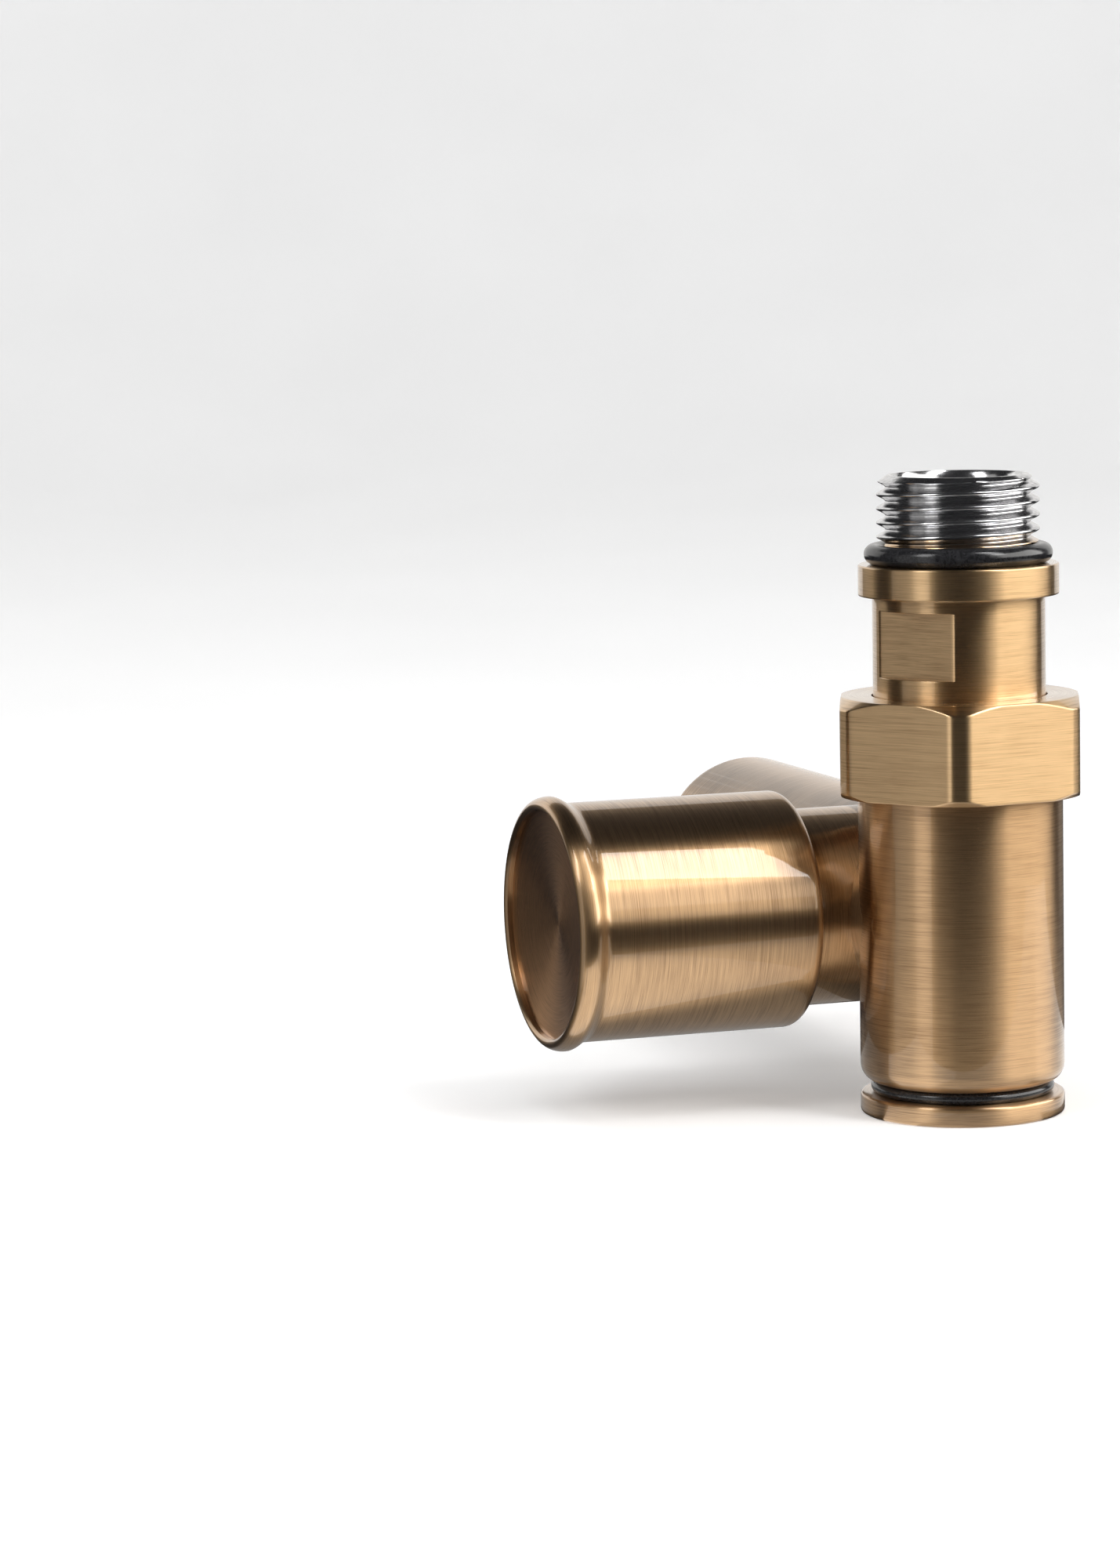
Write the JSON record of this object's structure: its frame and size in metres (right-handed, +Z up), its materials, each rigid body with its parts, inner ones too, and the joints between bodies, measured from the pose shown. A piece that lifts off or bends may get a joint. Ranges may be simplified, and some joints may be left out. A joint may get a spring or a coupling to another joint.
{
  "type": "angle stop valve",
  "caption": "Corner radiator stop valve in brushed bronze: barrel with union and threaded tailpiece, pipe arm at the back, knob beside the arm.",
  "frame": {"origin": "centre of the bottom plug's lower face, at the foot of the barrel", "axes": "+Z up the barrel towards the radiator thread, -X along the knob, +Y along the pipe arm"},
  "size_m": [0.068, 0.095, 0.0825],
  "materials": {
    "brushed_bronze": "brushed antique bronze under clear lacquer",
    "golden_bronze": "brushed, a little more golden",
    "knob_bronze": "brushed, bronze coated and lacquered",
    "knob_face": "darker brushed bronze coating",
    "thread_chrome": "nickel plated thread that turns bronze at its base",
    "raw_brass": "machined",
    "stem_steel": "turned stainless steel",
    "screw_steel": "zinc plated",
    "black_rubber": "smooth EPDM",
    "gasket_fibre": "pressed fibre and rubber",
    "hub_plastic": "moulded polyamide",
    "guide_plastic": "PTFE and acetal"
  },
  "bodies": {
    "valve": {"valve_body": "brushed_bronze", "bottom_plug": "brushed_bronze", "bottom_plug_o_ring": "black_rubber", "union_gasket": "gasket_fibre", "headwork_body": "raw_brass", "headwork_o_ring": "black_rubber", "stem_guide_bush": "guide_plastic", "headwork_circlip": "stem_steel", "knob_guide_ring": "guide_plastic"},
    "closing_disc": {"disc_holder": "raw_brass", "swivel_pin": "stem_steel", "valve_washer": "black_rubber", "washer_screw": "stem_steel"},
    "knob": {"stem": "stem_steel", "stem_o_rings": "black_rubber", "knob_shell": "knob_bronze", "knob_end_cap": "knob_face", "knob_insert": "hub_plastic", "knob_screw": "screw_steel", "knob_lock_washer": "screw_steel"},
    "tailpiece": {"radiator_tailpiece": "golden_bronze", "radiator_o_ring": "black_rubber", "nut_retaining_ring": "stem_steel"},
    "slip_washer": {"nut_slip_washer": "guide_plastic"},
    "nut": {"union_nut": "golden_bronze"}
  },
  "joints": [
    {"name": "disc_lift", "type": "slide", "parent": "valve", "child": "closing_disc", "axis": [-1, 0, 0], "range_m": [0, 0.0032]},
    {"name": "knob_turn", "type": "hinge", "parent": "closing_disc", "child": "knob", "pos_m": [0, 0.0188, 0.025], "axis": [-1, 0, 0], "range_deg": [0, 719.9]},
    {"name": "tailpiece_swivel", "type": "hinge", "parent": "valve", "child": "tailpiece", "pos_m": [0, 0, 0.0491], "axis": [0, 0, 1], "continuous": true},
    {"name": "nut_lift", "type": "slide", "parent": "valve", "child": "slip_washer", "axis": [0, 0, 1], "range_m": [0, 0.00726]},
    {"name": "nut_turn", "type": "hinge", "parent": "slip_washer", "child": "nut", "pos_m": [0, 0, 0.0514], "axis": [0, 0, 1], "range_deg": [0, 1439.9]}
  ],
  "couplings": [
    {"joint": "disc_lift", "follows": "knob_turn", "m_per_rad": 0.00025465},
    {"joint": "nut_lift", "follows": "nut_turn", "m_per_rad": 0.00028871}
  ]
}
